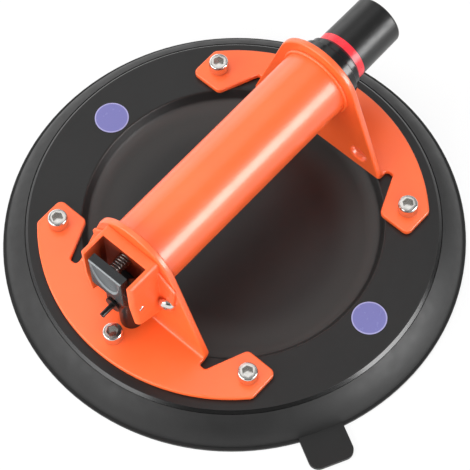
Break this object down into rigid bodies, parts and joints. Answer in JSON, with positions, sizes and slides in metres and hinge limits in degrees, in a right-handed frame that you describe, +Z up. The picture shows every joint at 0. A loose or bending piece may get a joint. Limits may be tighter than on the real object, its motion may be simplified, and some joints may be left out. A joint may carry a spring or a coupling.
{
  "type": "hand pump vacuum lifter",
  "caption": "Hand-held vacuum suction cup lifter: round rubber pad on a dished plate, tube handle on two bent brackets, plunger pump in the handle and a thumb release lever.",
  "frame": {"origin": "centre of the pad's sealing face, on the surface that the pad is set on", "axes": "+Z up out of the pad, +X along the handle towards the pump knob, -X towards the release lever"},
  "size_m": [0.21, 0.2146, 0.0869],
  "materials": {
    "rubber": "moulded, satin",
    "plate_black": "fine moulded texture",
    "orange_paint": "satin enamel paint",
    "steel": "zinc plated",
    "brass": "knurled insert",
    "aluminium": "drawn tube",
    "gloss_black": "moulded, glossy",
    "black_plastic": "moulded, satin",
    "red_plastic": "moulded",
    "spring_steel": "drawn wire",
    "orange_plastic": "moulded, satin",
    "felt": "pressed felt",
    "blue_film": "printed film"
  },
  "bodies": {
    "frame": {"rubber_pad": "rubber", "base_plate": "plate_black", "release_bracket": "orange_paint", "pump_bracket": "orange_paint", "handle_tube": "orange_paint", "tube_weld_beads": "orange_paint", "foot_screws": "steel", "thread_inserts": "brass", "pump_barrel": "aluminium", "guide_collar": "gloss_black", "barrel_head": "black_plastic", "inlet_check_valve": "rubber", "return_spring": "spring_steel", "release_housing": "orange_plastic", "housing_screws": "steel", "lever_pin": "steel", "lever_spring": "spring_steel", "valve_body": "black_plastic", "port_seal_ring": "rubber", "port_filter": "felt", "blue_discs": "blue_film"},
    "plunger": {"plunger_knob": "black_plastic", "indicator_ring": "red_plastic", "piston": "black_plastic", "piston_seal": "rubber", "piston_screw": "steel"},
    "lever": {"release_lever": "black_plastic"},
    "valve": {"valve_stem": "black_plastic", "valve_seal": "rubber"}
  },
  "joints": [
    {"name": "plunger_slide", "type": "slide", "parent": "frame", "child": "plunger", "axis": [-1, 0, 0], "range_m": [0, 0.024], "stiffness_N_per_m": 400, "springref_m": -0.02, "deforming": ["return_spring"]},
    {"name": "lever_hinge", "type": "hinge", "parent": "frame", "child": "lever", "pos_m": [-0.0715, 0, 0.057], "axis": [0, 1, 0], "range_deg": [0, 10], "stiffness_Nm_per_rad": 0.5, "springref_deg": -5.73, "deforming": ["lever_spring"]},
    {"name": "valve_slide", "type": "slide", "parent": "frame", "child": "valve", "axis": [-1, 0, 0], "range_m": [0, 0.002]}
  ],
  "couplings": [
    {"joint": "valve_slide", "follows": "lever_hinge", "m_per_rad": 0.0105}
  ]
}
